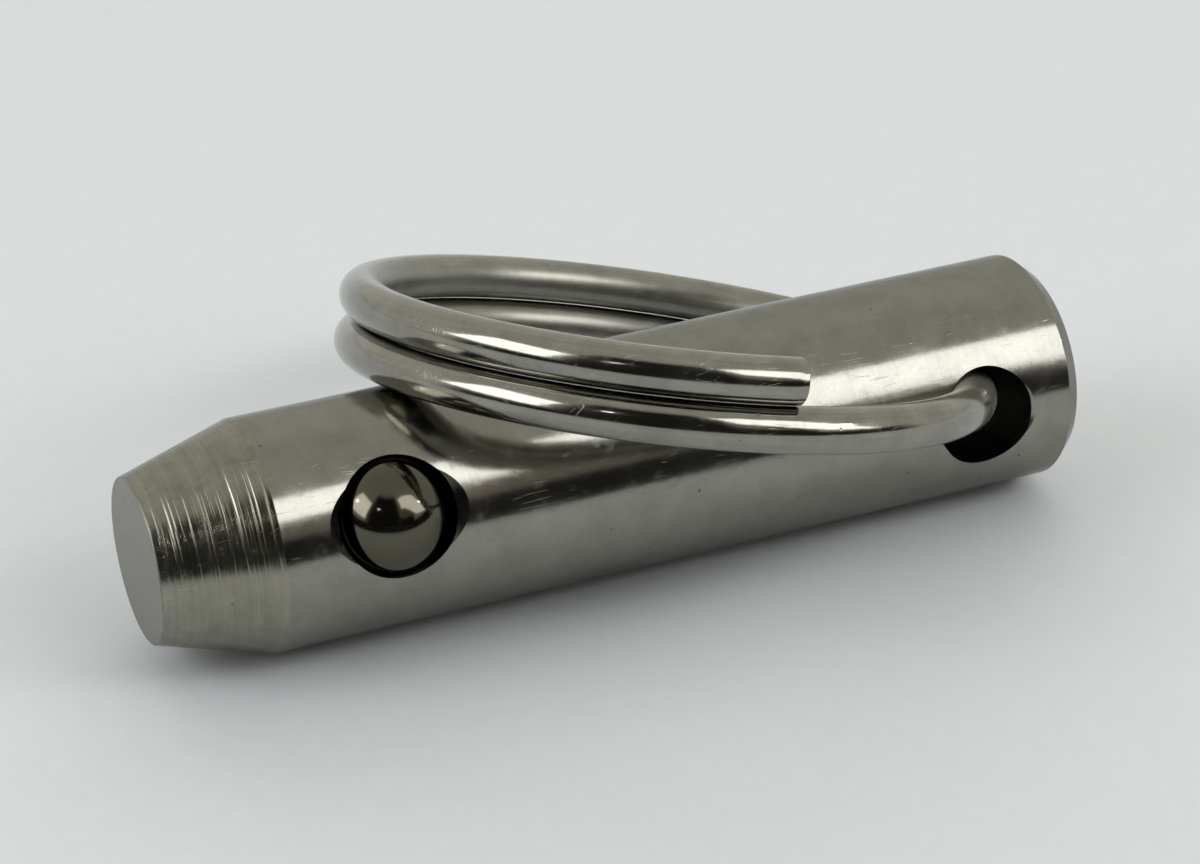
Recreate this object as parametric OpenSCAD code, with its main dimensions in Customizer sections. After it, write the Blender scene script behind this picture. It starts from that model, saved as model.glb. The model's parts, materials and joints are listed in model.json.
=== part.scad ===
// Ring-handled detent pin. A solid steel shank carries a spring-loaded ball near its nose
// and a split ring through a cross hole near its head.
//
// The shank lies along X, with the centre of its nose face at the origin and its head at +X.
// The ground is one shank radius below the X axis. The pin lies as it comes to rest: the
// shank on the ground, the ring leaning on the shank, and the ring's tail touching the ground.

/* [Shank] */
// Diameter of the shank
shank_d = 12.7; // [12.6:0.05:12.8]
// Length from nose face to head face
shank_len = 52.9; // [52:0.1:60]
// Length of the nose cone
nose_len = 6.25; // [4:0.25:7]
// Diameter of the flat nose face
nose_face_d = 9; // [7:0.5:11]
// Length of the chamfer at the head
head_chamfer_len = 0.85; // [0.5:0.05:1.5]
// Diameter of the flat head face
head_face_d = 11.2; // [10:0.1:12]
// Width of the small break on the edges of the nose and the head
edge_break = 0.12; // [0.05:0.01:0.2]

/* [Cross hole for the ring] */
// Diameter of the cross hole
cross_hole_d = 5.66; // [5.66:0.02:5.8]
// Distance from the nose face to the axis of the cross hole
cross_hole_x = 46.84; // [46.8:0.02:46.9]
// Angle of the cross hole above the horizontal, on the front side
cross_hole_angle = 12.1; // [12:0.1:12.8]
// Width of the countersink around each mouth of the cross hole
cross_mouth_w = 0.17; // [0.16:0.01:0.3]

/* [Detent ball] */
// Diameter of the ball
ball_d = 6.35; // [6.3:0.05:6.35]
// Distance from the nose face to the centre of the ball
ball_x = 12.64; // [11.5:0.02:14]
// Angle of the ball's hole above the horizontal, on the front side
ball_angle = 29.1; // [20:0.1:35]
// Distance from the shank axis to the centre of the ball when it stands out
ball_height = 4.3; // [4.2:0.05:4.3]
// Radial clearance between the ball and its hole
ball_clearance = 0.06; // [0.03:0.01:0.08]
// How far the staked lip closes the hole over the ball, on the radius
lip_overhang = 0.125; // [0.1:0.005:0.15]
// Distance from the shank axis to the flat bottom of the ball's hole
hole_bottom = 4.1; // [3.5:0.1:4.5]
// Full angle of the countersink around the ball's hole
mouth_angle = 120; // [100:5:130]
// Radius of the countersink at the top of the shank
mouth_r = 3.8; // [3.6:0.05:4]

/* [Coil spring] */
// Wire diameter of the spring
spring_wire_d = 0.6; // [0.5:0.05:0.6]
// Mean diameter of the spring
spring_mean_d = 4.9; // [4.6:0.1:5]
// Number of working turns
spring_turns = 3.5; // [3:0.5:4]

/* [Split ring] */
// Wire diameter of the ring
ring_wire_d = 2.5; // [2.4:0.05:2.5]
// Mean radius of the ring's coils
ring_mean_r = 17.11; // [17.05:0.02:17.15]
// Gap between the two coils
ring_coil_gap = 0.04; // [0.02:0.01:0.06]
// How much of a turn the ring runs past the cross hole to its visible end
ring_end_turn = 0.7465; // [0.7:0.0005:0.8]
// How much of a turn the ring runs past the cross hole to its hidden tail
ring_tail_turn = 0.87; // [0.84:0.005:0.875]
// Width of the small break on the ring's cut ends
ring_end_break = 0.1; // [0.05:0.01:0.2]

/* [Ring as it lies] */
// How far the coils lean from level
ring_lean = 23.13; // [23:0.01:23.3]
// Direction of the lean around the vertical, from the head end
ring_lean_turn = 49.86; // [49.7:0.01:50]
// Place on the coil that passes through the cross hole, in degrees around the ring
ring_hole_place = -51.9; // [-52.1:0.1:-51.7]
// Distance from the cross hole back to the centre of the ring, along the shank
ring_centre_back = 15.05; // [15:0.01:15.1]
// Distance of the ring's centre behind the shank axis
ring_centre_y = 3.49; // [3.4:0.01:3.6]
// Height of the ring's centre above the shank axis
ring_centre_z = 3.63; // [3.63:0.01:3.7]

/* [Hidden] */

$fn = 96;

shank_r = shank_d / 2;
// How much wider the nose cone gets along each millimetre
nose_slope = (shank_d - nose_face_d) / 2 / nose_len;
head_slope = (shank_d - head_face_d) / 2 / head_chamfer_len;

// The ball's hole, measured from the shank axis outwards
ball_r = ball_d / 2;
bore_r = ball_r + ball_clearance;
lip_r = ball_r - lip_overhang;
// The lip's tight edge stands just clear of the ball, which presses up to it
lip_gap = 0.05;
lip_z = ball_height + sqrt(pow(ball_r, 2) - pow(lip_r, 2)) + lip_gap;
lip_rise = bore_r - lip_r;
// The lip's outer side runs out where the bore meets the curved flanks of the shank
lip_top_z = sqrt(pow(shank_r, 2) - pow(bore_r, 2));
mouth_z = shank_r - (mouth_r - bore_r) / tan(mouth_angle / 2);
// How far the cutting shapes run on past the surface
overrun = 1;

// The spring stands on the bottom of the hole and presses on the lower side of the ball
spring_wire_r = spring_wire_d / 2;
spring_mean_r = spring_mean_d / 2;
spring_seat_gap = 0.02;
spring_z0 = spring_wire_r + spring_seat_gap - hole_bottom;
spring_z1 = ball_height - spring_seat_gap
    - sqrt(pow(ball_r + spring_wire_r, 2) - pow(spring_mean_r, 2));
// Each end has one closed turn, whose rise is barely more than the wire
spring_closed_rise = spring_wire_d + 0.02;
spring_open_rise = (spring_z1 - spring_z0 - 2 * spring_closed_rise) / spring_turns;
spring_steps = 24;
spring_sides = 10;

ring_wire_r = ring_wire_d / 2;
ring_pitch = ring_wire_d + ring_coil_gap;
ring_steps = 96;
ring_sides = 24;
// Turn taken by the break on each cut end
ring_break_turn = ring_end_break / (2 * PI * ring_mean_r);

// Angle at which a coil climbs
function coil_lead(coil_r, rise_per_turn) = atan(rise_per_turn / (2 * PI * coil_r));

// Points around the wire at one station of a coil. A station holds the turn made so far in
// degrees, the height, the radius of the wire and the angle at which the coil climbs.
function wire_section(coil_r, station, sides) =
    let (turn = station[0], height = station[1], wire_r = station[2], lead = station[3])
    [
        for (side = [0 : sides - 1])
            let (
                out = coil_r + wire_r * cos(360 * side / sides),
                up = wire_r * sin(360 * side / sides)
            )
            [
                out * cos(turn) + up * sin(lead) * sin(turn),
                out * sin(turn) - up * sin(lead) * cos(turn),
                height + up * cos(lead)
            ]
    ];

// Height of the spring's wire after a number of turns: closed, open, closed
function spring_height(turns) =
    spring_z0
    + spring_closed_rise * min(turns, 1)
    + spring_open_rise * max(min(turns - 1, spring_turns), 0)
    + spring_closed_rise * max(turns - 1 - spring_turns, 0);

function spring_rise(turns) =
    (turns < 1 || turns > 1 + spring_turns) ? spring_closed_rise : spring_open_rise;

function ring_station(turns, wire_r) = [
    ring_hole_place + 360 * turns,
    ring_pitch * turns,
    wire_r,
    coil_lead(ring_mean_r, ring_pitch)
];

// A round wire swept through a list of stations, with flat ends
module coil(coil_r, stations, sides) {
    count = len(stations);
    points = [for (station = stations) each wire_section(coil_r, station, sides)];
    first_end = [for (side = [0 : sides - 1]) side];
    last_end = [for (side = [sides - 1 : -1 : 0]) (count - 1) * sides + side];
    sides_low = [
        for (ring = [0 : count - 2], side = [0 : sides - 1])
            [ring * sides + side, (ring + 1) * sides + side, ring * sides + (side + 1) % sides]
    ];
    sides_high = [
        for (ring = [0 : count - 2], side = [0 : sides - 1])
            [
                ring * sides + (side + 1) % sides,
                (ring + 1) * sides + side,
                (ring + 1) * sides + (side + 1) % sides
            ]
    ];
    polyhedron(points, concat([first_end, last_end], sides_low, sides_high));
}

// Places its children in a cross hole: Z runs outwards along the hole, from the shank axis
module on_hole(x, angle) {
    translate([x, 0, 0]) rotate([90 - angle, 0, 0]) children();
}

// Turned shank: flat nose face, nose cone, straight body, chamfered head
module shank_blank() {
    rotate([0, 90, 0]) rotate_extrude() polygon([
        [0, 0],
        [nose_face_d / 2 - edge_break, 0],
        [nose_face_d / 2 + edge_break * nose_slope, edge_break],
        [shank_r, nose_len],
        [shank_r, shank_len - head_chamfer_len],
        [head_face_d / 2 + edge_break * head_slope, shank_len - edge_break],
        [head_face_d / 2 - edge_break, shank_len],
        [0, shank_len]
    ]);
}

// Blind hole for the ball and spring, with the staked lip that keeps the ball in and a
// shallow countersink that bites only where the shank is highest
module ball_hole() {
    mouth_run = overrun * tan(mouth_angle / 2);
    rotate_extrude() polygon([
        [0, -hole_bottom],
        [bore_r, -hole_bottom],
        [bore_r, lip_z - lip_rise],
        [lip_r, lip_z],
        [bore_r, lip_top_z],
        [bore_r, mouth_z],
        [mouth_r + mouth_run, shank_r + overrun],
        [0, shank_r + overrun]
    ]);
}

// Straight cross hole with a small countersink at each mouth
module ring_hole() {
    hole_r = cross_hole_d / 2;
    cylinder(h = shank_d + 2 * overrun, r = hole_r, center = true);
    for (end = [0, 1]) mirror([0, 0, end]) translate([0, 0, shank_r - cross_mouth_w])
        cylinder(h = overrun, r1 = hole_r, r2 = hole_r + overrun);
}

module shank() {
    color("#8d8d88") difference() {
        shank_blank();
        on_hole(ball_x, ball_angle) ball_hole();
        on_hole(cross_hole_x, cross_hole_angle) ring_hole();
    }
}

module detent_ball() {
    color("#6f7072") on_hole(ball_x, ball_angle) translate([0, 0, ball_height]) sphere(ball_r);
}

// Compression spring with one closed turn at each end
module detent_spring() {
    total_turns = spring_turns + 2;
    steps = round(total_turns * spring_steps);
    stations = [
        for (step = [0 : steps])
            let (turns = total_turns * step / steps)
            [
                360 * turns,
                spring_height(turns),
                spring_wire_r,
                coil_lead(spring_mean_r, spring_rise(turns))
            ]
    ];
    color("#9a9a94") on_hole(ball_x, ball_angle) coil(spring_mean_r, stations, spring_sides);
}

// Split ring: one wire wound in touching coils. It passes through the cross hole at turn 0.
module split_ring() {
    first = ring_break_turn - ring_tail_turn;
    last = ring_end_turn - ring_break_turn;
    steps = round((last - first) * ring_steps);
    stations = [
        ring_station(-ring_tail_turn, ring_wire_r - ring_end_break),
        for (step = [0 : steps]) ring_station(first + (last - first) * step / steps, ring_wire_r),
        ring_station(ring_end_turn, ring_wire_r - ring_end_break)
    ];
    color("#a7a8a4")
        translate([cross_hole_x - ring_centre_back, ring_centre_y, ring_centre_z])
        rotate([0, ring_lean, ring_lean_turn])
        coil(ring_mean_r, stations, ring_sides);
}

shank();
detent_ball();
detent_spring();
split_ring();
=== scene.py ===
"""Dresses the detent pin: a turned shank with a spring-loaded ball and a split ring.

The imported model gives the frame. Every piece here stands for one of its nodes, rides on the
same body, and takes its place and main sizes from the frame's boxes and joints. Lengths are
in metres. X runs along the shank from the nose to the head, and Z is up.
"""

import json
import logging
import math
from collections.abc import Sequence
from dataclasses import dataclass, field, replace
from enum import Enum, IntEnum
from functools import reduce

import bmesh
import bpy
import numpy as np
from mathutils import Matrix, Vector

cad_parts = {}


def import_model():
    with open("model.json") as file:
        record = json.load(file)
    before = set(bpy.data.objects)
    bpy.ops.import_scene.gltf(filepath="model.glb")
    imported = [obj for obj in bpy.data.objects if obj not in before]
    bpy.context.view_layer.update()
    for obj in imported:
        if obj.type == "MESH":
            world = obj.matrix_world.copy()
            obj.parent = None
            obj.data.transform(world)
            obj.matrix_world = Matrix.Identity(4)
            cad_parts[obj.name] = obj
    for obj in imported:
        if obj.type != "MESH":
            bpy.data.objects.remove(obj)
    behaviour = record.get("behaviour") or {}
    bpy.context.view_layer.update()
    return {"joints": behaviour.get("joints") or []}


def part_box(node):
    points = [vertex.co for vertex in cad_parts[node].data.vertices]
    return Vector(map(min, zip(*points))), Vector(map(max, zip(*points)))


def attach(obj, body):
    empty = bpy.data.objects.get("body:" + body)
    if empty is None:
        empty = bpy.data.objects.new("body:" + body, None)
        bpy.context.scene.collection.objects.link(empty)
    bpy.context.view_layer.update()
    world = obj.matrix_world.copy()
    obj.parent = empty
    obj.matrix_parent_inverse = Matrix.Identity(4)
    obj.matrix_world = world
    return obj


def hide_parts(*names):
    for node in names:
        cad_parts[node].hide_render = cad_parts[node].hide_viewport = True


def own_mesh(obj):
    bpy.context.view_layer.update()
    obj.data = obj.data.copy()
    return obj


LOG = logging.getLogger("detent_pin")
MM = 0.001
TINY = 1e-9
WHITE = (1.0, 1.0, 1.0)
ORIGIN = (0.0, 0.0, 0.0)

Rgb = tuple[float, float, float]
Point2 = tuple[float, float]
Point3 = tuple[float, float, float]
Socket = bpy.types.NodeSocket
Feeds = dict[int | str, object]


class Lay(Enum):
    """Which way the fine lines of a steel finish run."""

    ROUND_THE_SHANK = "round"
    ALONG_THE_WIRE = "wire"
    NO_LINES = "none"


class Facing(Enum):
    """Whether metal lies inside or outside a turned profile."""

    OUTWARD = 1.0
    INWARD = -1.0


class Reach(Enum):
    """Which surfaces a lamp lights."""

    SHINY = "shiny"
    MATT = "matt"


class Cut(IntEnum):
    """How a part of the shank is cut, numbered as its material slots.

    The bores and the ball hole's countersink and lip take steel darkened as painted shade.
    """

    GROUND = 0
    TURNED = 1
    FACED = 2
    SHADED_BORE = 3
    SHADED_RIM = 4
    BRIGHT_RIM = 5


# --- Nodes ---


class NodeBench:
    """Adds nodes to one shader or geometry tree and joins them."""

    def __init__(self, tree: bpy.types.NodeTree) -> None:
        """Takes a tree and clears it."""
        self.tree = tree
        self.tree.nodes.clear()

    def add(self, kind: str, feeds: Feeds | None = None, **settings: object) -> bpy.types.Node:
        """Adds one node, sets its properties and feeds its inputs.

        Args:
            kind: The node's type name.
            feeds: What each input gets, by its name or number: another node's output, a
                fixed value, or None for an input that stays as it is.
            settings: Properties of the node by name.

        Returns:
            The new node.
        """
        node = self.tree.nodes.new(kind)
        for name, value in settings.items():
            setattr(node, name, value)
        for key, value in (feeds or {}).items():
            if isinstance(value, Socket):
                self.tree.links.new(value, node.inputs[key])
            elif value is not None:
                node.inputs[key].default_value = value
        return node

    def get(
        self, kind: str, feeds: Feeds | None = None, out: int | str = 0, **settings: object
    ) -> Socket:
        """Adds one node and gives the output that is asked for."""
        return self.add(kind, feeds, **settings).outputs[out]

    def calc(self, operation: str, *values: object) -> Socket:
        """Adds a Math node."""
        return self.get("ShaderNodeMath", dict(enumerate(values)), operation=operation)

    def product(self, levels: Sequence[Socket]) -> Socket:
        """Multiplies levels with one another."""
        return reduce(lambda first, second: self.calc("MULTIPLY", first, second), levels)

    def add_up(self, start: object, parts: Sequence[tuple[Socket, float]]) -> object:
        """Adds patterns to a start, each one times its amount."""
        return reduce(lambda total, part: self.calc("MULTIPLY_ADD", *part, total), parts, start)

    def towards(self, level: object, goal: float, share: Socket) -> Socket:
        """Moves a level towards a goal, all the way where the share is 1."""
        return self.calc("MULTIPLY_ADD", share, self.calc("SUBTRACT", goal, level), level)

    def scaled(self, vector: object, factor: object) -> Socket:
        """Multiplies a vector or a colour by a number."""
        feeds = {0: vector, "Scale": factor}
        return self.get("ShaderNodeVectorMath", feeds, operation="SCALE")

    def split(self, vector: Socket) -> Sequence[Socket]:
        """Gives the three parts of a vector."""
        return self.add("ShaderNodeSeparateXYZ", {0: vector}).outputs

    def joined(self, *parts: Socket) -> Socket:
        """Makes a vector of three numbers."""
        return self.get("ShaderNodeCombineXYZ", dict(enumerate(parts)))

    def attribute(self, name: str, out: str) -> Socket:
        """Reads a named attribute of the mesh."""
        return self.get("ShaderNodeAttribute", out=out, attribute_name=name)

    def store(self, geometry: Socket, name: str, value: Socket, data_type: str) -> Socket:
        """Keeps a value as a named attribute on a geometry's points."""
        feeds = {"Geometry": geometry, "Name": name, "Value": value}
        return self.get("GeometryNodeStoreNamedAttribute", feeds, data_type=data_type)

    def ease(self, value: Socket, at_0: float, at_1: float) -> Socket:
        """Goes smoothly from 0 at one value to 1 at another."""
        feeds = {0: value, 1: at_0, 2: at_1}
        return self.get("ShaderNodeMapRange", feeds, interpolation_type="SMOOTHSTEP")

    def sway(self, pattern: Socket, middle: float, reach: float, margin: float = 0.3) -> Socket:
        """Turns a pattern into a level that wanders to both sides of its middle."""
        feeds = (pattern, margin, 1.0 - margin, middle - reach, middle + reach)
        return self.get("ShaderNodeMapRange", dict(enumerate(feeds)))

    def noise(self, place: Socket, *levels: float) -> Socket:
        """Makes a pattern from 0 to 1 with a scale, detail, roughness and distortion."""
        feeds = zip(("Vector", "Scale", "Detail", "Roughness", "Distortion"), (place, *levels))
        return self.get("ShaderNodeTexNoise", dict(feeds))

    def stretch(
        self, place: Socket, scale: Point3, turn: Point3 = ORIGIN, shift: Point3 = ORIGIN
    ) -> Socket:
        """Scales coordinates, turns them by so many degrees and shifts them."""
        feeds = (place, shift, tuple(map(math.radians, turn)), scale)
        return self.get("ShaderNodeMapping", dict(enumerate(feeds)))

    def bump(self, pattern: object, depth: float, under: Socket | None) -> Socket:
        """Presses a pattern into a normal, to a depth in millimetres."""
        feeds = {"Strength": 1.0, "Distance": depth * MM, "Height": pattern, "Normal": under}
        return self.get("ShaderNodeBump", feeds)

    def surface(self, feeds: Feeds) -> None:
        """Ends a material with a Principled shader."""
        shader = self.get("ShaderNodeBsdfPrincipled", feeds)
        self.add("ShaderNodeOutputMaterial", {"Surface": shader})


# --- Finishes ---


# What fully plain marks do to steel: shade, added roughness, and height in steps of MARK_STEP
SCRATCH = (0.35, 0.12, -1.0)
PIT = (-0.75, 0.3, -2.0)
MARK_STEP = 0.006
SCRATCH_TURNS = ((12.0, 31.0, -24.0), (-37.0, 8.0, 41.0), (75.0, -15.0, 66.0))

# Patterns on steel: cells in a millimetre, number of finer layers, and their strength
FINE_GRAIN = (9.0, 3.0, 0.6)
SLOW_WAVES = (0.45, 1.0, 0.4)
SMALL_DENTS = (1.7, 2.0, 0.55)
SCUFFED_PATCHES = (0.9, 4.0, 0.66)

# Cells in a millimetre along the lines, coarse and fine, and how much denser the fine ones are
LINES_ROUND = (0.05, 0.11, 3.1)
LINES_ALONG = (0.12, 0.276, 2.7)
# The same along and across a scratch, and half its width as a level of its pattern
SCRATCH_CELLS = (0.12, 1.7, 1.7)
SCRATCH_HALF_WIDTH = 0.005
# Cells in a millimetre for pits, a pit's edge and bottom in cells, and the cells without one
PIT_CELLS = 0.85
PIT_EDGE = (0.09, 0.03)
UNPITTED_SHARE = 0.45
# Roughness added by full scuffs, and the levels of their pattern where they start and are full
SCUFF_DULLING = 0.22
SCUFF_EDGE = (0.54, 0.68)
# Where a wire's dulling starts and is full, in millimetres: along it from the middle of its
# hole, and outwards from its own middle
HOLE_EDGE = (14.0, 9.0)
INNER_EDGE = (0.2, -0.9)


@dataclass(frozen=True)
class Steel:
    """A bare steel finish with its tarnish, machining lines, scratches and pits.

    Depths, the tarnish's grain and the pitch of the lines are in millimetres. uneven, tarnish
    and line_shade say how far the roughness and the colour wander to each side. The inner
    dulling is on the side of a coil that faces its middle, and the hole dulling where a wire
    rubs in its hole. edge_gloss is the share of the gloss left at a grazing view.
    """

    name: str
    tint: Rgb
    roughness: float
    uneven: float = 0.05
    tarnish: float = 0.15
    tarnish_grain: float = 2.0
    lay: Lay = Lay.NO_LINES
    line_depth: float = 0.0
    line_pitch: float = 0.2
    line_shade: float = 0.0
    ripple: float = 0.0
    dimples: float = 0.0
    scratches: float = 0.0
    pits: float = 0.0
    scuffs: float = 0.0
    inner_dulling: float = 0.0
    hole_dulling: float = 0.0
    edge_gloss: float = 1.0

    def make(self) -> bpy.types.Material:
        """Builds the material.

        Returns:
            The finished material.
        """
        material = bpy.data.materials.new(self.name)
        material.use_nodes = True
        bench = NodeBench(material.node_tree)
        in_metres = bench.get("ShaderNodeTexCoord", out="Object")
        place = bench.stretch(in_metres, (1.0 / MM, 1.0 / MM, 1.0 / MM))
        patches = bench.noise(place, 1.0 / self.tarnish_grain, 5.0, 0.6, 0.4)
        fine = bench.noise(place, *FINE_GRAIN)
        tones = [bench.sway(patches, 1.0, self.tarnish), bench.sway(fine, 1.0, 0.3 * self.tarnish)]
        dulls, reliefs, marks = [], [], []
        if self.ripple:
            reliefs.append((bench.noise(place, *SLOW_WAVES), self.ripple))
        if self.dimples:
            reliefs.append((bench.noise(place, *SMALL_DENTS), self.dimples))
        if self.lay is not Lay.NO_LINES:
            lines = self._lines(bench, place)
            tones.append(bench.sway(lines, 1.0, self.line_shade, 0.25))
            reliefs.append((lines, self.line_depth))
        for plainness, pattern_of, (tone, dulling, height) in (
            (self.scratches, self._scratches, SCRATCH),
            (self.pits, self._pits, PIT),
        ):
            if plainness:
                pattern = pattern_of(bench, place)
                tones.append(bench.calc("MULTIPLY_ADD", pattern, tone * plainness, 1.0))
                dulls.append((pattern, dulling * plainness))
                marks.append((pattern, height * plainness))
        if marks:
            reliefs.append((bench.add_up(0.0, marks), MARK_STEP))
        if self.scuffs:
            rubbed = bench.ease(bench.noise(place, *SCUFFED_PATCHES), *SCUFF_EDGE)
            dulls.append((rubbed, SCUFF_DULLING * self.scuffs))
        if self.hole_dulling:
            from_hole = bench.calc("ABSOLUTE", bench.attribute("wire_along", "Fac"))
            dulls.append((bench.ease(from_hole, *HOLE_EDGE), self.hole_dulling))
        if self.inner_dulling:
            across, *_ = bench.split(bench.attribute("wire_side", "Vector"))
            dulls.append((bench.ease(across, *INNER_EDGE), self.inner_dulling))

        normal = None
        for pattern, depth in reliefs:
            normal = bench.bump(pattern, depth, normal)
        bench.surface(
            {
                "Base Color": bench.scaled(self.tint, bench.product(tones)),
                "Metallic": 1.0,
                "Roughness": bench.add_up(bench.sway(patches, self.roughness, self.uneven), dulls),
                "Specular Tint": (self.edge_gloss, self.edge_gloss, self.edge_gloss, 1.0),
                "Normal": normal,
            }
        )
        return material

    def _lines(self, bench: NodeBench, place: Socket) -> Socket:
        """Makes the fine machining or drawing lines.

        Args:
            bench: The material's nodes.
            place: The coordinates in millimetres.

        Returns:
            A pattern from 0 to 1.
        """
        per_mm = 1.0 / self.line_pitch
        if self.lay is Lay.ROUND_THE_SHANK:
            slow, quick, denser = LINES_ROUND
            coarse, dense = (per_mm, slow, slow), (denser * per_mm, quick, quick)
        else:
            slow, quick, denser = LINES_ALONG
            across, upward, _ = bench.split(bench.attribute("wire_side", "Vector"))
            place = bench.joined(bench.attribute("wire_along", "Fac"), across, upward)
            coarse, dense = (slow, per_mm, per_mm), (quick, denser * per_mm, denser * per_mm)
        first = bench.noise(bench.stretch(place, coarse), 1.0, 2.0, 0.65)
        shifted = bench.stretch(place, dense, shift=(5.0, 1.0, 2.0))
        second = bench.noise(shifted, 1.0, 2.0, 0.6)
        return bench.calc("MULTIPLY_ADD", second, 0.4, bench.calc("MULTIPLY", first, 0.6))

    @staticmethod
    def _scratches(bench: NodeBench, place: Socket) -> Socket:
        """Makes a few long thin scratches that run in several directions.

        Args:
            bench: The material's nodes.
            place: The coordinates in millimetres.

        Returns:
            A pattern that is 1 in a scratch.
        """
        total = 0.0
        for number, turn in enumerate(SCRATCH_TURNS):
            turned = bench.stretch(place, SCRATCH_CELLS, turn, (7.0 * number, 3.0, 11.0))
            level = bench.calc("SUBTRACT", bench.noise(turned, 1.0, 0.0), 0.5)
            thin = bench.ease(bench.calc("ABSOLUTE", level), SCRATCH_HALF_WIDTH, 0.0)
            here = bench.ease(bench.noise(place, 0.55 + 0.13 * number, 1.0), 0.6, 0.66)
            total = bench.calc("MAXIMUM", bench.calc("MULTIPLY", thin, here), total)
        return total

    @staticmethod
    def _pits(bench: NodeBench, place: Socket) -> Socket:
        """Makes small scattered pits.

        Args:
            bench: The material's nodes.
            place: The coordinates in millimetres.

        Returns:
            A pattern that is 1 in a pit.
        """
        cells = bench.add("ShaderNodeTexVoronoi", {"Vector": place, "Scale": PIT_CELLS})
        near = bench.ease(cells.outputs["Distance"], *PIT_EDGE)
        lot = bench.get("ShaderNodeSeparateColor", {0: cells.outputs["Color"]})
        return bench.calc("MULTIPLY", near, bench.calc("GREATER_THAN", lot, UNPITTED_SHARE))


@dataclass(frozen=True)
class Paper:
    """A pale matt sheet for the floor."""

    name: str = "pale_paper"
    tint: Rgb = (0.795, 0.823, 0.862)
    roughness: float = 0.75
    sheen: float = 0.15

    def make(self) -> bpy.types.Material:
        """Builds the material.

        Returns:
            The finished material.
        """
        material = bpy.data.materials.new(self.name)
        material.use_nodes = True
        bench = NodeBench(material.node_tree)
        fibre = bench.noise(bench.get("ShaderNodeTexCoord", out="Object"), 900.0, 3.0, 0.6)
        feeds = {"Roughness": self.roughness, "Specular IOR Level": self.sheen}
        feeds["Base Color"] = bench.scaled(self.tint, bench.sway(fibre, 1.0, 0.01))
        bench.surface(feeds)
        return material


GROUND_STEEL = Steel(
    "ground_shank_steel", (0.266, 0.26, 0.228), 0.155, uneven=0.03, tarnish=0.11,
    tarnish_grain=2.2, lay=Lay.ROUND_THE_SHANK, line_depth=0.0006, line_pitch=0.16,
    line_shade=0.04, ripple=0.012, dimples=0.004, scratches=0.45, pits=0.8, scuffs=0.4,
    edge_gloss=0.7,
)
TURNED_STEEL = Steel(
    "turned_nose_steel", (0.27, 0.262, 0.215), 0.2, tarnish=0.14, tarnish_grain=1.3,
    lay=Lay.ROUND_THE_SHANK, line_depth=0.06, line_pitch=0.3, line_shade=0.16, scratches=0.4,
    pits=0.5, scuffs=0.3, edge_gloss=0.8,
)
FACED_STEEL = Steel(
    "faced_end_steel", (0.247, 0.244, 0.214), 0.4, uneven=0.08, tarnish=0.24, tarnish_grain=0.6,
    scratches=0.6, pits=0.7,
)
# Near-black steel: painted shade on the walls and bottoms of both holes
SHADED_BORE_STEEL = Steel(
    "painted_shade_hole_steel", (0.05, 0.048, 0.044), 0.35, uneven=0.08, tarnish=0.3, tarnish_grain=1.0,
)
# Dark steel: painted shade on the ball hole's countersink and lip round the ball
SHADED_RIM_STEEL = Steel(
    "painted_shade_rim_steel", (0.09, 0.087, 0.078), 0.2, uneven=0.06, tarnish=0.2, tarnish_grain=0.8,
)
CHROME_BALL = Steel(
    "polished_ball_steel", (0.104, 0.098, 0.075), 0.11, uneven=0.02, tarnish=0.05,
    tarnish_grain=3.0, scratches=0.15,
)
SPRING_STEEL = Steel(
    "spring_wire_steel", (0.4, 0.39, 0.37), 0.28, tarnish=0.12, tarnish_grain=1.0,
    lay=Lay.ALONG_THE_WIRE, line_depth=0.001, line_pitch=0.3, line_shade=0.08,
)
RING_STEEL = Steel(
    "drawn_ring_steel", (0.285, 0.278, 0.245), 0.13, uneven=0.03, tarnish=0.14, tarnish_grain=1.8,
    lay=Lay.ALONG_THE_WIRE, line_depth=0.0016, line_pitch=0.22, line_shade=0.13, ripple=0.005,
    dimples=0.004, scratches=0.5, pits=0.5, scuffs=0.25, inner_dulling=0.24, hole_dulling=0.3,
)
# In the order of Cut
SHANK_FINISHES = (
    GROUND_STEEL,
    TURNED_STEEL,
    FACED_STEEL,
    SHADED_BORE_STEEL,
    SHADED_RIM_STEEL,
    # A lighter copy, with no painted shade, for the cross hole's countersinks
    replace(SHADED_RIM_STEEL, name="bright_rim_steel", tint=(0.3, 0.295, 0.27), tarnish_grain=0.6),
)


# --- Turned shapes ---

# Number of stretches in the rounding of a corner
ARC_STEPS = 4
# How near a vertex has to be to a turned surface to lie on it
ON_SURFACE = 0.004 * MM
# Least agreement between a face and the surface it lies on, as a cosine
LEAST_MATCH = 0.8


def unit(vector: np.ndarray) -> np.ndarray:
    """Gives a vector the length 1."""
    return vector / np.linalg.norm(vector)


@dataclass(frozen=True)
class Facet:
    """One stretch of a turned profile, with its ends and normals as (along, radius)."""

    start: np.ndarray
    end: np.ndarray
    start_normal: np.ndarray
    end_normal: np.ndarray
    cut: Cut

    @property
    def length(self) -> float:
        """Length of the stretch."""
        return float(np.linalg.norm(self.end - self.start))


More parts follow.
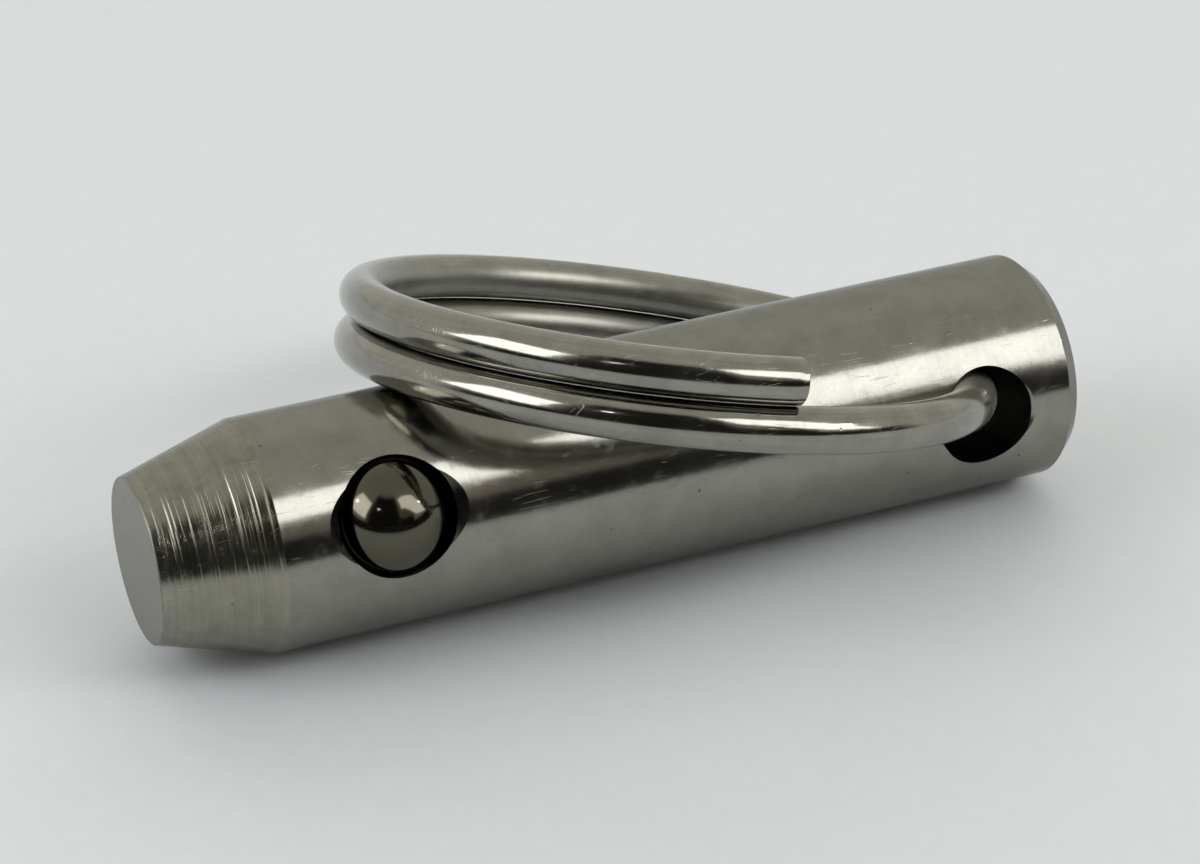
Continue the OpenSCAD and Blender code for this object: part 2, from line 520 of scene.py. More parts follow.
@dataclass
class TurnedForm:
    """A shape turned about an axis, which also knows the true normal all over it.

    The points are the profile's corners, as (along, radius), from one end to the other, and
    cuts says how each stretch between two of them is cut. rounding is the radius at each
    corner, or empty for sharp ones. A row of faces is about row_length long.
    """

    origin: Vector
    axis: Vector
    points: list[Point2]
    cuts: list[Cut]
    rounding: list[float] = field(default_factory=list)
    facing: Facing = Facing.OUTWARD
    segments: int = 256
    row_length: float = math.inf
    facets: list[Facet] = field(default_factory=list)

    def __post_init__(self) -> None:
        """Works out the stretches and the roundings of the profile."""
        corners = [np.array(point, float) for point in self.points]
        start = corners[0]
        for number, cut in enumerate(self.cuts, 1):
            end = corners[number]
            along = unit(end - corners[number - 1])
            normal = np.array((-along[1], along[0]))
            radius = self.rounding[number] if self.rounding else 0.0
            if radius == 0.0:
                self.facets.append(Facet(start, end, normal, normal, cut))
                start = end
                continue
            onward = unit(corners[number + 1] - end)
            turn = math.acos(max(-1.0, min(1.0, float(along @ onward))))
            reach = radius * math.tan(turn / 2.0)
            point = end - along * reach
            self.facets.append(Facet(start, point, normal, normal, cut))
            next_normal = np.array((-onward[1], onward[0]))
            side = math.copysign(1.0, along[1] * onward[0] - along[0] * onward[1])
            centre, last_normal = point - side * radius * normal, normal
            for step in range(1, ARC_STEPS + 1):
                share = step / ARC_STEPS
                mixed = unit((1.0 - share) * normal + share * next_normal)
                reached = centre + side * radius * mixed
                self.facets.append(Facet(point, reached, last_normal, mixed, cut))
                point, last_normal = reached, mixed
            start = point

    def frame(self) -> tuple[np.ndarray, np.ndarray, np.ndarray]:
        """Finds the directions of the form.

        Returns:
            The axis and two directions square to it.
        """
        axis = np.array(self.axis.normalized())
        side = np.cross(axis, (1.0, 0.0, 0.0))
        if np.linalg.norm(side) < 0.1:
            side = np.cross(axis, (0.0, 1.0, 0.0))
        side = unit(side)
        return axis, side, np.cross(axis, side)

    def mesh(self, name: str) -> bpy.types.Mesh:
        """Builds the closed surface.

        Args:
            name: Name of the mesh.

        Returns:
            The mesh, with its faces outwards.
        """
        path: list[tuple[np.ndarray, Cut]] = []
        for facet in self.facets:
            count = max(1, round(facet.length / self.row_length))
            for step in range(count):
                share = step / count
                path.append(((1.0 - share) * facet.start + share * facet.end, facet.cut))
        path.append((self.facets[-1].end, self.facets[-1].cut))

        axis, side, other = self.frame()
        turns = [2.0 * math.pi * step / self.segments for step in range(self.segments)]
        spokes = [math.cos(turn) * side + math.sin(turn) * other for turn in turns]
        build = bmesh.new()
        rings: list[list[bmesh.types.BMVert]] = []
        for (along, radius), _ in path:
            middle = np.array(self.origin) + axis * along
            needed = spokes[:1] if radius < TINY else spokes
            rings.append([build.verts.new(middle + radius * spoke) for spoke in needed])
        for low, high, (_, cut) in zip(rings, rings[1:], path):
            for step in range(self.segments):
                after = (step + 1) % self.segments
                corners = [low[step], low[after]] if len(low) > 1 else low
                corners = corners + ([high[after], high[step]] if len(high) > 1 else high)
                build.faces.new(corners).material_index = cut
        bmesh.ops.recalc_face_normals(build, faces=build.faces)
        made = bpy.data.meshes.new(name)
        build.to_mesh(made)
        build.free()
        return made

    def surfaces(self, places: np.ndarray) -> list[tuple[np.ndarray, np.ndarray, Cut]]:
        """Compares places with every stretch of the turned surface.

        Args:
            places: The places, one in each row.

        Returns:
            For each stretch, which places lie on it, the normal it has there, and its cut.
        """
        axis, _, _ = self.frame()
        offset = places - np.array(self.origin)
        along = offset @ axis
        outward = offset - along[:, None] * axis
        radius = np.linalg.norm(outward, axis=1)
        outward = outward / np.maximum(radius, TINY)[:, None]
        found = []
        for facet in self.facets:
            if facet.length < TINY:
                continue
            run = facet.end - facet.start
            away = np.stack([along, radius], 1) - facet.start
            share = away @ run / facet.length**2
            off = np.abs(away @ np.array([-run[1], run[0]]) / facet.length)
            slack = ON_SURFACE / facet.length
            on_it = (off < ON_SURFACE) & (share > -slack) & (share < 1.0 + slack)
            part = np.clip(share, 0.0, 1.0)[:, None]
            flat = (1.0 - part) * facet.start_normal + part * facet.end_normal
            normals = flat[:, :1] * axis + flat[:, 1:] * outward
            lengths = np.maximum(np.linalg.norm(normals, axis=1), TINY)[:, None]
            found.append((on_it, self.facing.value * normals / lengths, facet.cut))
        return found


def paint_true_normals(mesh: bpy.types.Mesh, forms: Sequence[TurnedForm]) -> None:
    """Gives every face the exact normals and the finish of the turned surface it lies on.

    Args:
        mesh: A mesh cut from the forms.
        forms: The turned surfaces that it is made of.
    """
    places = np.empty(len(mesh.vertices) * 3)
    mesh.vertices.foreach_get("co", places)
    surfaces = [found for form in forms for found in form.surfaces(places.reshape(-1, 3))]
    normals = np.zeros((len(mesh.loops), 3))
    for face in mesh.polygons:
        face.use_smooth = True
        corners, flat = np.array(face.vertices), np.array(face.normal)
        loops = slice(face.loop_start, face.loop_start + face.loop_total)
        normals[loops], best_match = flat, LEAST_MATCH
        for on_it, true_normals, cut in surfaces:
            if not on_it[corners].all():
                continue
            match = float((true_normals[corners] @ flat).mean())
            if match > best_match:
                normals[loops], best_match = true_normals[corners], match
                face.material_index = cut
    mesh.normals_split_custom_set(normals.tolist())


def link_piece(name: str, data: bpy.types.ID) -> bpy.types.Object:
    """Puts a mesh, a lamp or a camera in the scene as an object at the origin.

    Args:
        name: Name of the object.
        data: What it shows.

    Returns:
        The object.
    """
    piece = bpy.data.objects.new(name, data)
    bpy.context.scene.collection.objects.link(piece)
    return piece


def baked_copy(piece: bpy.types.Object, name: str) -> bpy.types.Mesh:
    """Makes a plain mesh of a piece with its modifiers worked in.

    Args:
        piece: An object with modifiers.
        name: Name of the new mesh.

    Returns:
        The plain mesh.
    """
    bpy.context.view_layer.update()
    graph = bpy.context.evaluated_depsgraph_get()
    mesh = bpy.data.meshes.new_from_object(piece.evaluated_get(graph), depsgraph=graph)
    mesh.name = name
    return mesh


# --- Coiled wire, by Geometry Nodes ---


@dataclass
class CoiledWire:
    """A round wire wound in turns about Z: closed turns, open turns, closed turns.

    Its ends are counted in turns from where the closed ones start, and a turn before that is
    an open one. A rise is the height gained in one turn.
    """

    name: str
    wire_radius: float
    coil_radius: float
    last_turn: float
    open_turns: float
    open_rise: float
    first_turn: float = 0.0
    closed_turns: float = 0.0
    closed_rise: float = 0.0
    end_break: float = 0.0
    steps_per_turn: int = 160
    sides: int = 40

    def _inputs(self) -> dict[str, int | float]:
        """Lists what the winding's tree is given.

        Returns:
            The value of each input by its name.
        """
        return {
            "Stations": round((self.last_turn - self.first_turn) * self.steps_per_turn) + 1,
            "Sides": self.sides,
            "Wire Radius": self.wire_radius,
            "Coil Radius": self.coil_radius,
            "First Turn": self.first_turn,
            "Last Turn": self.last_turn,
            "Closed Turns": self.closed_turns,
            "Open Turns": self.open_turns,
            "Closed Rise": self.closed_rise,
            "Open Rise": self.open_rise,
        }

    def _tree(self, finish: bpy.types.Material) -> bpy.types.NodeTree:
        """Builds the Geometry Nodes tree that winds the wire.

        Args:
            finish: Material of the wire.

        Returns:
            The node tree.
        """
        tree = bpy.data.node_groups.new(f"{self.name}_winding", "GeometryNodeTree")
        new_socket = tree.interface.new_socket
        new_socket("Geometry", in_out="OUTPUT", socket_type="NodeSocketGeometry")
        for label, value in self._inputs().items():
            kind = "NodeSocketInt" if isinstance(value, int) else "NodeSocketFloat"
            new_socket(label, in_out="INPUT", socket_type=kind)
        bench = NodeBench(tree)
        calc = bench.calc
        given = bench.add("NodeGroupInput").outputs

        index = bench.get("GeometryNodeInputIndex")
        share = calc("DIVIDE", index, calc("SUBTRACT", given["Stations"], 1.0))
        run = calc("SUBTRACT", given["Last Turn"], given["First Turn"])
        turn = calc("MULTIPLY_ADD", share, run, given["First Turn"])
        angle = calc("MULTIPLY", turn, 2.0 * math.pi)

        # A turn that is not an open one is a closed one
        opened = calc("MAXIMUM", calc("SUBTRACT", turn, given["Closed Turns"]), 0.0)
        opened = calc("MINIMUM", opened, given["Open Turns"])
        opened = calc("ADD", opened, calc("MINIMUM", turn, 0.0))
        height = calc("MULTIPLY", calc("SUBTRACT", turn, opened), given["Closed Rise"])
        height = calc("MULTIPLY_ADD", opened, given["Open Rise"], height)

        radius = given["Coil Radius"]
        across, back = (calc("MULTIPLY", radius, calc(way, angle)) for way in ("COSINE", "SINE"))
        line = bench.get("GeometryNodeMeshLine", {"Count": given["Stations"]})
        curve = bench.get("GeometryNodeMeshToCurve", {0: line})
        feeds = {"Geometry": curve, "Position": bench.joined(across, back, height)}
        wound = bench.get("GeometryNodeSetPosition", feeds)
        upright = bench.get("GeometryNodeSetCurveNormal", {"Curve": wound}, mode="Z_UP")
        along = calc("MULTIPLY", angle, calc("MULTIPLY", radius, 1.0 / MM))
        spine = bench.store(upright, "wire_along", along, "FLOAT")

        feeds = {"Resolution": given["Sides"], "Radius": given["Wire Radius"]}
        circle = bench.get("GeometryNodeCurvePrimitiveCircle", feeds)
        side = bench.scaled(bench.get("GeometryNodeInputPosition"), 1.0 / MM)
        profile = bench.store(circle, "wire_side", side, "FLOAT_VECTOR")
        feeds = {"Curve": spine, "Profile Curve": profile, "Fill Caps": True}
        tube = bench.get("GeometryNodeCurveToMesh", feeds)
        real = bench.get("GeometryNodeRealizeInstances", {0: tube})
        dressed = bench.get("GeometryNodeSetMaterial", {"Geometry": real, "Material": finish})
        bench.add("NodeGroupOutput", {0: dressed})
        return tree

    def mesh(self, place: Matrix, finish: bpy.types.Material) -> bpy.types.Mesh:
        """Winds the wire and puts it in place.

        Args:
            place: Where the coil's own axes stand.
            finish: Material of the wire.

        Returns:
            The plain mesh.
        """
        holder = link_piece(f"{self.name}_holder", bpy.data.meshes.new(f"{self.name}_empty"))
        winding = holder.modifiers.new("winding", "NODES")
        winding.node_group = self._tree(finish)
        values = self._inputs()
        for item in winding.node_group.interface.items_tree:
            if item.name in values:
                winding[item.identifier] = values[item.name]
        mesh = baked_copy(holder, f"{self.name}_wound")
        holder.modifiers.remove(winding)

        self._break_ends(mesh)
        mesh.transform(place)
        holder.data = mesh
        even = holder.modifiers.new("even_normals", "WEIGHTED_NORMAL")
        even.keep_sharp = False
        finished = baked_copy(holder, self.name)
        bpy.data.objects.remove(holder)
        return finished

    def _break_ends(self, mesh: bpy.types.Mesh) -> None:
        """Rounds the rims of the cut ends and turns every face outwards.

        Args:
            mesh: The wound wire.
        """
        most_corners = 8
        work = bmesh.new()
        work.from_mesh(mesh)
        caps = [face for face in work.faces if len(face.verts) > most_corners]
        if self.end_break:
            rims = [edge for cap in caps for edge in cap.edges]
            shape = {"offset": self.end_break, "segments": 3, "profile": 0.5}
            bmesh.ops.bevel(work, geom=rims, affect="EDGES", clamp_overlap=True, **shape)
        bmesh.ops.recalc_face_normals(work, faces=work.faces)
        for face in work.faces:
            face.smooth = len(face.verts) <= most_corners
        work.to_mesh(mesh)
        work.free()


# --- The pieces ---

# How far a cutter reaches past the shank
OVERCUT = 1.0 * MM


@dataclass
class Hole:
    """A turned hole, with its centre on the shank's axis and its front mouth outward."""

    centre: Vector
    outward: Vector
    shank_radius: float

    def turned(self, points: list[Point2], cuts: list[Cut]) -> TurnedForm:
        """Turns a profile into the form that cuts the hole."""
        facing = Facing.INWARD
        return TurnedForm(self.centre, self.outward, points, cuts, facing=facing, segments=192)


@dataclass
class CrossHole(Hole):
    """The hole for the ring, straight through the shank, countersunk at both ends."""

    radius: float = 2.83 * MM
    mouth_width: float = 0.17 * MM

    def form(self) -> TurnedForm:
        """Gives the hole as a turned form.

        Returns:
            The form, which the shank is cut with.
        """
        start, far = self.shank_radius - self.mouth_width, self.shank_radius + OVERCUT
        flare = self.radius + far - start
        half = [(start, self.radius), (far, flare), (far, 0.0)]
        points = [(-along, radius) for along, radius in reversed(half)] + half
        # The bore wall gets the near-black painted shade, the countersinks stay lighter
        cuts = [Cut.SHADED_BORE, Cut.BRIGHT_RIM, Cut.SHADED_BORE, Cut.BRIGHT_RIM, Cut.SHADED_BORE]
        return self.turned(points, cuts)


@dataclass
class BallHole(Hole):
    """The blind hole for the ball and its spring.

    ball_height and depth are measured from the shank's axis. The staked lip closes over the
    ball by lip_overhang, on the radius, and stands clear of it by lip_gap. mouth_angle is
    the countersink's full angle in degrees, and mouth_radius its radius at the top.
    """

    ball_radius: float
    ball_height: float
    clearance: float = 0.06 * MM
    lip_overhang: float = 0.125 * MM
    lip_gap: float = 0.05 * MM
    depth: float = 4.1 * MM
    mouth_angle: float = 120.0
    mouth_radius: float = 3.8 * MM

    def form(self) -> TurnedForm:
        """Gives the hole as a turned form.

        Returns:
            The form, which the shank is cut with.
        """
        bore = self.ball_radius + self.clearance
        lip = self.ball_radius - self.lip_overhang
        lip_at = self.ball_height + math.sqrt(self.ball_radius**2 - lip**2) + self.lip_gap
        flank = math.sqrt(self.shank_radius**2 - bore**2)
        spread = math.tan(math.radians(self.mouth_angle / 2.0))
        mouth_at = self.shank_radius - (self.mouth_radius - bore) / spread
        far = self.shank_radius + OVERCUT
        points = [
            (-self.depth, 0.0),
            (-self.depth, bore),
            (lip_at - (bore - lip), bore),
            (lip_at, lip),
            (flank, bore),
            (mouth_at, bore),
            (far, self.mouth_radius + OVERCUT * spread),
            (far, 0.0),
        ]
        # The bore gets the near-black painted shade, the countersink and lip the dark painted
        # shade
        return self.turned(points, [Cut.SHADED_BORE] * 3 + [Cut.SHADED_RIM] * 3 + [Cut.SHADED_BORE])


@dataclass
class Shank:
    """The turned pin body with its nose cone, its chamfered head and its two holes.

    The grooves' places are shares of the nose cone's length. edge_round is the rounding of
    the end faces' rims, and corner_round the one at both ends of the straight body.
    """

    radius: float
    length: float
    cross_hole: CrossHole
    ball_hole: BallHole
    nose_length: float = 6.25 * MM
    nose_face_radius: float = 4.5 * MM
    head_chamfer: float = 0.85 * MM
    head_face_radius: float = 5.6 * MM
    groove_places: tuple[float, ...] = (
        0.07, 0.17, 0.21, 0.33, 0.44, 0.47, 0.6, 0.7, 0.83, 0.87, 0.955,
    )
    groove_width: float = 0.13 * MM
    groove_depth: float = 0.013 * MM
    edge_round: float = 0.12 * MM
    corner_round: float = 0.1 * MM
    row_length: float = 1.6 * MM

    def outer_form(self) -> TurnedForm:
        """Gives the outside of the shank as a turned form.

        Returns:
            The form.
        """
        grooves = self._grooves()
        points = [
            (0.0, 0.0),
            (0.0, self.nose_face_radius),
            *grooves,
            (self.nose_length, self.radius),
            (self.length - self.head_chamfer, self.radius),
            (self.length, self.head_face_radius),
            (self.length, 0.0),
        ]
        rounding = [0.0, self.edge_round, *[0.0] * len(grooves)]
        rounding += [self.corner_round, self.corner_round, self.edge_round, 0.0]
        nose = [Cut.TURNED] * (len(grooves) + 1)
        cuts = [Cut.FACED, *nose, Cut.GROUND, Cut.GROUND, Cut.FACED]
        axis, row = Vector((1.0, 0.0, 0.0)), self.row_length
        return TurnedForm(Vector(ORIGIN), axis, points, cuts, rounding, row_length=row)

    def _grooves(self) -> list[Point2]:
        """Gives the corners of the fine turning grooves on the nose cone.

        Returns:
            Three points of the profile for each groove: its two edges with its bottom between.
        """
        start = np.array((0.0, self.nose_face_radius))
        run = np.array((self.nose_length, self.radius)) - start
        length = float(np.linalg.norm(run))
        inward = np.array((run[1], -run[0])) / length
        points = []
        for number, place in enumerate(self.groove_places):
            # The grooves take three sizes in turn, from 0.7 to 1.3 of the mean
            size = 0.7 + 0.3 * (number * 5 % 3)
            half = size * self.groove_width / 2.0 / length
            for shift, depth in ((-half, 0.0), (0.0, self.groove_depth * size), (half, 0.0)):
                points.append(tuple(start + run * (place + shift) + inward * depth))
        return points

    def build(self) -> bpy.types.Object:
        """Turns the shank, cuts its holes and dresses it.

        Returns:
            The finished piece.
        """
        outer = self.outer_form()
        holes = [self.ball_hole.form(), self.cross_hole.form()]
        blank = link_piece("shank_blank", outer.mesh("shank_blank"))
        cutters = []
        for number, hole in enumerate(holes):
            cutter = link_piece(f"cutter_{number}", hole.mesh(f"cutter_{number}"))
            cut = blank.modifiers.new(f"cut_{number}", "BOOLEAN")
            cut.operation, cut.solver, cut.object = "DIFFERENCE", "EXACT", cutter
            cutters.append(cutter)
        mesh = baked_copy(blank, "turned_shank")
        for item in [blank, *cutters]:
            bpy.data.objects.remove(item)
        mesh.materials.clear()
        for finish in SHANK_FINISHES:
            mesh.materials.append(finish.make())
        paint_true_normals(mesh, [outer, *holes])
        return link_piece("turned_shank", mesh)


@dataclass
class DetentBall:
    """The polished ball, blown up from a cube with so many steps to a side."""

    centre: Vector
    radius: float
    steps: int = 40

    def build(self) -> bpy.types.Object:
        """Blows a fine cube up to a ball, which leaves it with no poles.

        Returns:
            The finished piece.
        """
        work = bmesh.new()
        bmesh.ops.create_cube(work, size=2.0)
        cuts = self.steps - 1
        bmesh.ops.subdivide_edges(work, edges=work.edges[:], cuts=cuts, use_grid_fill=True)
        for vert in work.verts:
            bowed = Vector([math.tan(c * math.pi / 4.0) for c in vert.co])
            vert.co = self.centre + bowed.normalized() * self.radius
        bmesh.ops.recalc_face_normals(work, faces=work.faces)
        mesh = bpy.data.meshes.new("polished_ball")
        work.to_mesh(mesh)
        work.free()
        mesh.shade_smooth()
        outward = [(vert.co - self.centre).normalized() for vert in mesh.vertices]
        mesh.normals_split_custom_set_from_vertices(outward)
        mesh.materials.append(CHROME_BALL.make())
        return link_piece("polished_ball", mesh)


@dataclass
class CoilSpring:
    """The spring that pushes the ball out, with one closed turn at each end.

    turns counts the open ones, turn_gap is the gap between the closed ones, and seat_gap the
    gap to the bottom of the hole and to the ball.
    """

    hole: BallHole
    wire_radius: float = 0.3 * MM
    mean_radius: float = 2.45 * MM
    turns: float = 3.5
    turn_gap: float = 0.02 * MM
    seat_gap: float = 0.02 * MM

    @property
    def bottom(self) -> float:
        """Height of the lowest wire's centre above the shank's axis."""
        return self.wire_radius + self.seat_gap - self.hole.depth

    @property
    def top(self) -> float:
        """Height of the highest wire's centre above the shank's axis."""
        reach = (self.hole.ball_radius + self.wire_radius) ** 2 - self.mean_radius**2
        return self.hole.ball_height - self.seat_gap - math.sqrt(reach)

    @property
    def length(self) -> float:
        """Length of the spring as it stands."""
        return self.top - self.bottom + 2.0 * self.wire_radius

    def build(self) -> bpy.types.Object:
        """Winds the spring.

        Returns:
            The finished piece.
        """
        closed_rise = 2.0 * self.wire_radius + self.turn_gap
        wire = CoiledWire(
            name="coil_spring",
            wire_radius=self.wire_radius,
            coil_radius=self.mean_radius,
            last_turn=self.turns + 2.0,
            closed_turns=1.0,
            open_turns=self.turns,
            closed_rise=closed_rise,
            open_rise=(self.top - self.bottom - 2.0 * closed_rise) / self.turns,
            steps_per_turn=48,
            sides=16,
        )
        outward = self.hole.outward.normalized()
        lift = math.degrees(math.atan2(outward.z, -outward.y))
        place = (
            Matrix.Translation(self.hole.centre)
            @ Matrix.Rotation(math.radians(90.0 - lift), 4, "X")
            @ Matrix.Translation((0.0, 0.0, self.bottom))
        )
        return link_piece("coil_spring", wire.mesh(place, SPRING_STEEL.make()))


@dataclass
class SplitRing:
    """The split ring, one wire wound in touching coils, which passes through the cross hole.

    It runs from its hidden end, tail_turn before the hole, to end_turn after it. The coils
    lean by lean, in the direction lean_turn about the vertical, and hole_place is the place
    on them that is in the hole, all in degrees. Their centre is centre_back from the hole.
    """

    hole: CrossHole
    wire_radius: float = 1.25 * MM
    mean_radius: float = 17.11 * MM
    coil_gap: float = 0.04 * MM
    tail_turn: float = 0.87
    end_turn: float = 0.7465
    end_break: float = 0.05 * MM
    lean: float = 23.13
    lean_turn: float = 49.86
    hole_place: float = -51.9
    centre_back: float = 15.05 * MM
    centre_y: float = 3.49 * MM
    centre_z: float = 3.63 * MM

    def build(self) -> bpy.types.Object:
        """Winds the ring and lays it through the hole.

        Returns:
            The finished piece.
        """
        wire = CoiledWire(
            name="drawn_split_ring",
            wire_radius=self.wire_radius,
            coil_radius=self.mean_radius,
            first_turn=-self.tail_turn,
            last_turn=self.end_turn,
            open_turns=2.0,
            open_rise=2.0 * self.wire_radius + self.coil_gap,
            end_break=self.end_break,
        )
        across = self.hole.centre.x - self.centre_back
        place = Matrix.Translation((across, self.centre_y, self.centre_z))
        for angle, axis in ((self.lean_turn, "Z"), (self.lean, "Y"), (self.hole_place, "Z")):
            place = place @ Matrix.Rotation(math.radians(angle), 4, axis)
        return link_piece("drawn_split_ring", wire.mesh(place, RING_STEEL.make()))


# --- Floor, light and camera ---


@dataclass(frozen=True)
class SoftLamp:
    """A soft upright lamp in one of the room's walls, like a bright window.

    The wall's direction is in degrees from the front, to the right, and the lamp's edges are
    measured on the wall from the place that faces the target. A radiance of 1 is white.
    """

    name: str
    wall: float
    distance: float
    left: float
    right: float
    low: float
    high: float
    radiance: float
    tint: Rgb = WHITE
    reach: Reach = Reach.SHINY

    def place(self, target: Point3) -> None:
        """Makes the lamp and stands it in its wall.

        Args:
            target: The point that the wall faces.
        """
        width, height = self.right - self.left, self.high - self.low
        data = bpy.data.lights.new(self.name, "AREA")
        data.shape = "RECTANGLE"
        data.size, data.size_y = width, height
        data.energy = self.radiance * math.pi * width * height
        data.color = self.tint
        data.cycles.use_multiple_importance_sampling = self.reach is Reach.SHINY
        lamp = link_piece(self.name, data)
        to_wall = Matrix.Rotation(math.radians(self.wall), 4, "Z")
        upright = Matrix.Rotation(math.radians(90.0), 4, "X")
        middle = ((self.left + self.right) / 2.0, (self.low + self.high) / 2.0, self.distance)
        out = Matrix.Translation(middle)
        lamp.matrix_world = Matrix.Translation(target) @ to_wall @ upright @ out
        lamp.visible_camera = False
        lamp.visible_diffuse = self.reach is Reach.MATT
        lamp.visible_glossy = self.reach is Reach.SHINY


COOL = (0.95, 0.965, 1.0)
PALE = (0.96, 0.965, 0.98)
# The right window narrows to the left, so it is cut in upright strips: edges and tint
RIGHT_WINDOW = (
    (0.28, 0.6, 0.19, 0.85, COOL),
    (0.235, 0.28, 0.225, 0.85, COOL),
    (0.19, 0.235, 0.27, 0.82, COOL),
    (0.145, 0.19, 0.315, 0.77, PALE),
    (0.07, 0.145, 0.355, 0.72, PALE),
)
LAMPS = (
    *(
        SoftLamp(f"right_window_{number}", 3.0, 0.4, *edges, 3.1, tint)
        for number, (*edges, tint) in enumerate(RIGHT_WINDOW, 1)
    ),
    SoftLamp("left_window", -88.0, 0.45, -0.2, 0.16, 0.16, 0.52, 3.5, (0.98, 1.0, 0.98)),
    SoftLamp("right_glint", 60.0, 0.5, -0.014, 0.014, 0.3, 0.33, 60.0),
    SoftLamp("left_glint", -103.0, 0.5, -0.014, 0.014, 0.31, 0.34, 50.0),
    SoftLamp("middle_glint", -45.0, 0.5, -0.008, 0.008, 0.45, 0.466, 60.0),
    SoftLamp("right_window_light", 3.0, 0.4, 0.08, 0.6, 0.42, 0.8, 1.9, WHITE, Reach.MATT),
    SoftLamp(
        "right_side_light", 58.0, 0.5, -0.14, 0.14, 0.24, 0.46, 3.2, (1.0, 1.0, 0.97), Reach.MATT
    ),
    SoftLamp(
        "left_window_light", -88.0, 0.45, -0.2, 0.16, 0.2, 0.5, 2.7, (0.93, 0.97, 1.0), Reach.MATT
    ),
    SoftLamp("rear_light", 160.0, 0.7, -0.5, 0.5, 0.3, 1.1, 0.8, WHITE, Reach.MATT),
)


@dataclass(frozen=True)
class WallPatch:
    """A patch of the room's walls, between soft edges.

    Each edge says where the patch is absent and where it is full: the side edges in degrees
    from the front, to the right, and the others as the rise of a direction of length 1.
    """

    sides: tuple[Point2, Point2]
    heights: tuple[Point2, ...]

    def share(self, bench: NodeBench, around: Socket, above: Socket) -> Socket:
        """Gives 1 in the patch and 0 outside it."""
        edges = [(around, edge) for edge in self.sides] + [(above, edge) for edge in self.heights]
        return bench.product([bench.ease(level, *edge) for level, edge in edges])


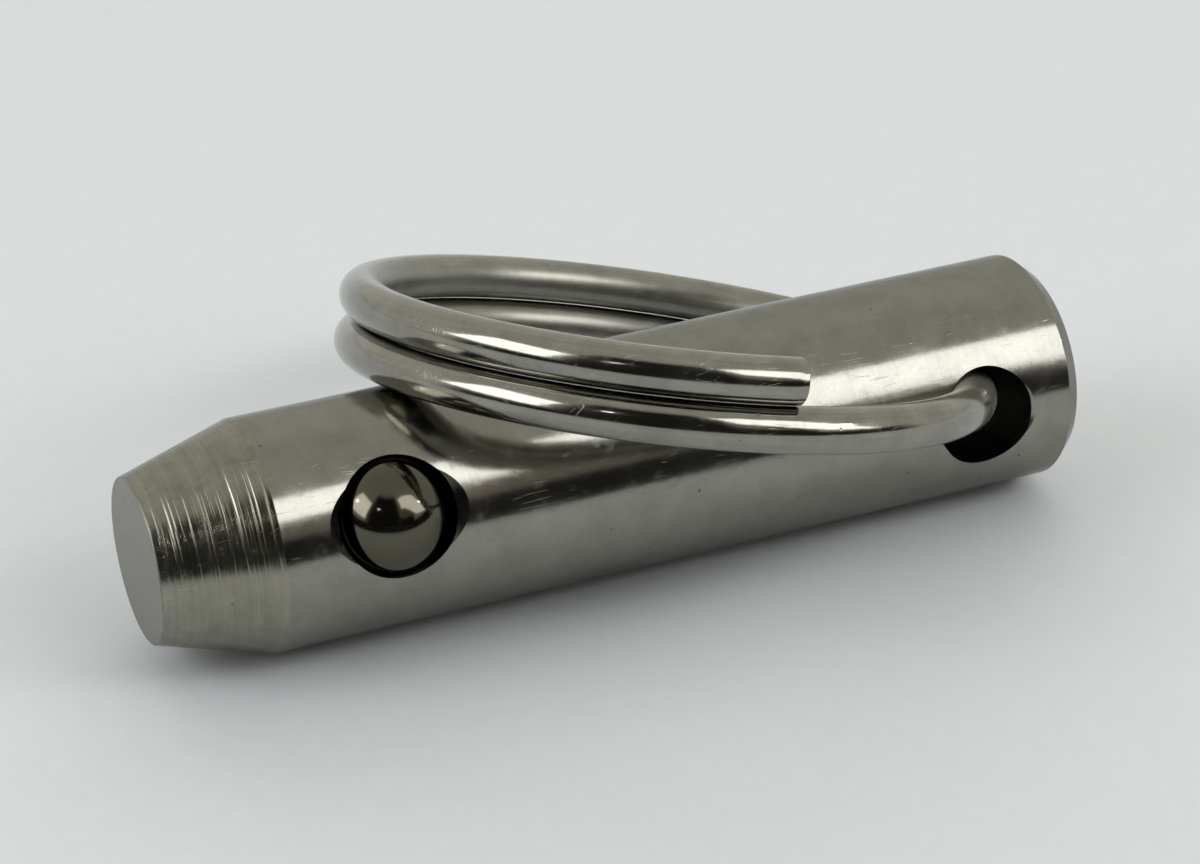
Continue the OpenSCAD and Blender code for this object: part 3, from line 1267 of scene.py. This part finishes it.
@dataclass
class Studio:
    """The pale floor, the room's light, the lamps and the camera.

    The dark patches are the front up to well above the camera, the dark under the shutter,
    and a low strip below the windows. A brown shutter stands at the left of the right
    window. The lens and the sensor are in millimetres.
    """

    floor_height: float
    floor_size: float = 4.0
    target: Point3 = (0.02, 0.0, 0.0)
    ceiling: float = 0.62
    rear: float = 0.7
    sides: float = 0.66
    front: float = 0.028
    dark_patches: tuple[WallPatch, ...] = (
        WallPatch(((-74.0, -58.0), (14.0, 0.0)), ((0.97, 0.88),)),
        WallPatch(((-2.0, 6.0), (36.0, 30.0)), ((0.52, 0.42),)),
        WallPatch(((-112.0, -92.0), (80.0, 62.0)), ((0.26, 0.2),)),
    )
    shutter: WallPatch = WallPatch(((4.0, 14.0), (36.0, 30.0)), ((0.68, 0.56), (0.34, 0.44)))
    shutter_level: float = 0.3
    wall_tint: Rgb = (1.0, 0.99, 0.9)
    shutter_tint: Rgb = (1.0, 0.88, 0.76)
    eye: Point3 = (-0.039128, -0.148081, 0.10772)
    ahead: Point3 = (0.33792, 0.76515, -0.54804)
    rightward: Point3 = (0.91879, -0.39442, 0.01585)
    lens: float = 106.787
    sensor: float = 36.0

    def build(self) -> None:
        """Sets up the camera, the floor, the world and the lamps."""
        self._camera()
        self._floor()
        self._room()
        for lamp in LAMPS:
            lamp.place(self.target)

    def _camera(self) -> None:
        """Stands the camera where it sees the pin from the nose end, from above."""
        ahead, right = Vector(self.ahead).normalized(), Vector(self.rightward)
        right = (right - ahead * right.dot(ahead)).normalized()
        data = bpy.data.cameras.new("camera")
        data.sensor_fit = "HORIZONTAL"
        data.sensor_width = self.sensor
        data.lens = self.lens
        data.clip_start, data.clip_end = 0.005, 20.0
        camera = link_piece("camera", data)
        axes = Matrix((right, right.cross(ahead), -ahead)).transposed().to_4x4()
        camera.matrix_world = Matrix.Translation(self.eye) @ axes
        bpy.context.scene.camera = camera

    def _floor(self) -> None:
        """Lays the pale sheet that the pin lies on."""
        half = self.floor_size / 2.0
        corners = [(-half, -half), (half, -half), (half, half), (-half, half)]
        mesh = bpy.data.meshes.new("floor")
        mesh.from_pydata([(x, y, self.floor_height) for x, y in corners], [], [(0, 1, 2, 3)])
        mesh.materials.append(Paper().make())
        floor = link_piece("floor", mesh)

    def _room(self) -> None:
        """Makes the room: pale above and all round, but for its dark front and its shutter."""
        world = bpy.data.worlds.new("room")
        bpy.context.scene.world = world
        world.use_nodes = True
        bench = NodeBench(world.node_tree)
        side, back, above = bench.split(bench.get("ShaderNodeTexCoord", out="Generated"))
        around = bench.calc("ARCTAN2", side, bench.calc("MULTIPLY", back, -1.0))
        around = bench.calc("DEGREES", around)
        level = bench.towards(self.sides, self.rear, bench.ease(back, 0.1, 0.8))
        level = bench.towards(level, self.ceiling, bench.ease(above, 0.7, 0.9))
        dark = 0.0
        for patch in self.dark_patches:
            dark = bench.calc("MAXIMUM", patch.share(bench, around, above), dark)
        level = bench.towards(level, self.front, dark)
        shutter = self.shutter.share(bench, around, above)
        level = bench.towards(level, self.shutter_level, shutter)
        feeds = {"Factor": shutter, 6: (*self.wall_tint, 1.0), 7: (*self.shutter_tint, 1.0)}
        tone = bench.get("ShaderNodeMix", feeds, 2, data_type="RGBA")
        glow = bench.get("ShaderNodeBackground", {"Color": bench.scaled(tone, level)})
        bench.add("ShaderNodeOutputWorld", {"Surface": glow})


# --- Assembly ---


def joint_named(frame: dict, name: str) -> dict:
    """Finds a joint of the loaded frame by its name."""
    return next(joint for joint in frame["joints"] if joint["name"] == name)


def seat(piece: bpy.types.Object, body: str, node: str) -> None:
    """Puts a finished piece on its body in place of a node.

    Args:
        piece: The finished piece.
        body: The body that it rides on.
        node: The node that it stands for.
    """
    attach(piece, body)
    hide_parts(node)
    LOG.info("%s rides on %s, %d faces", piece.name, body, len(piece.data.polygons))


def main() -> None:
    """Builds the studio and the four pieces, in order."""
    logging.basicConfig(level=logging.INFO, format="%(name)s: %(message)s")
    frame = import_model()
    bpy.context.scene.view_settings.view_transform = "Standard"

    low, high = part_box("shank")
    ball_low, ball_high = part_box("detent_ball")
    ball_centre = (ball_low + ball_high) / 2.0
    press = joint_named(frame, "ball_press")
    swing = joint_named(frame, "ring_swing")
    ball_axis = -Vector(press["axis"]).normalized()
    ball_radius = (ball_high.x - ball_low.x) / 2.0

    Studio(floor_height=low.z).build()
    shank_radius = (high.z - low.z) / 2.0
    swing_axis = -Vector(swing["axis"]).normalized()
    cross_hole = CrossHole(Vector(swing["pos_m"]), swing_axis, shank_radius)
    ball_place = Vector((ball_centre.x, 0.0, 0.0))
    ball_height = ball_centre.dot(ball_axis)
    ball_hole = BallHole(ball_place, ball_axis, shank_radius, ball_radius, ball_height)
    shank = Shank(shank_radius, high.x - low.x, cross_hole, ball_hole)
    seat(shank.build(), "pin", "shank")
    seat(DetentBall(ball_centre, ball_radius).build(), "ball", "detent_ball")
    spring = CoilSpring(ball_hole)
    coil = spring.build()
    seat(coil, "pin", "detent_spring")
    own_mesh(coil)
    seat(SplitRing(cross_hole).build(), "ring", "split_ring")


if __name__ == "__main__":
    main()
